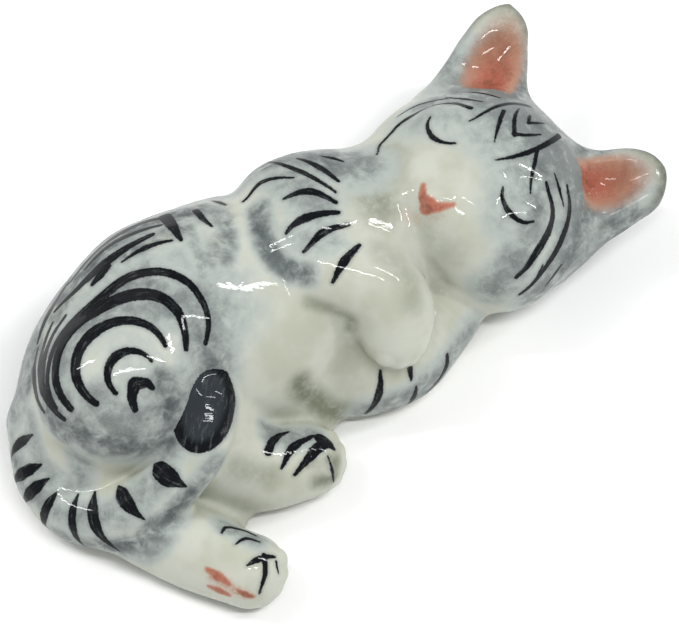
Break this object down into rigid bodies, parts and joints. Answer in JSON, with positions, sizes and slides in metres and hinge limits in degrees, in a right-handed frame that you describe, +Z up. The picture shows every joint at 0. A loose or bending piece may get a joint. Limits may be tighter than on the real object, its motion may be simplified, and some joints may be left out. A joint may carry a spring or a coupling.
{
  "type": "cat figurine",
  "caption": "Miniature glazed porcelain kitten asleep on its side, with hand-painted grey tabby stripes and a flat base.",
  "frame": {"origin": "on the flat base, under the middle of the figurine's box", "axes": "+X from the rump to the head, +Y from the belly to the spine, +Z up from the table"},
  "size_m": [0.048, 0.0256, 0.0136],
  "materials": {
    "white_glaze": "gloss",
    "grey_glaze": "gloss",
    "pink_glaze": "gloss"
  },
  "bodies": {
    "root": {"body": "grey_glaze", "head": "white_glaze", "ear_right": "pink_glaze", "ear_left": "pink_glaze", "foreleg_right": "white_glaze", "foreleg_left": "white_glaze", "hind_leg_right": "white_glaze", "hind_leg_left": "white_glaze", "tail": "grey_glaze"}
  },
  "joints": []
}
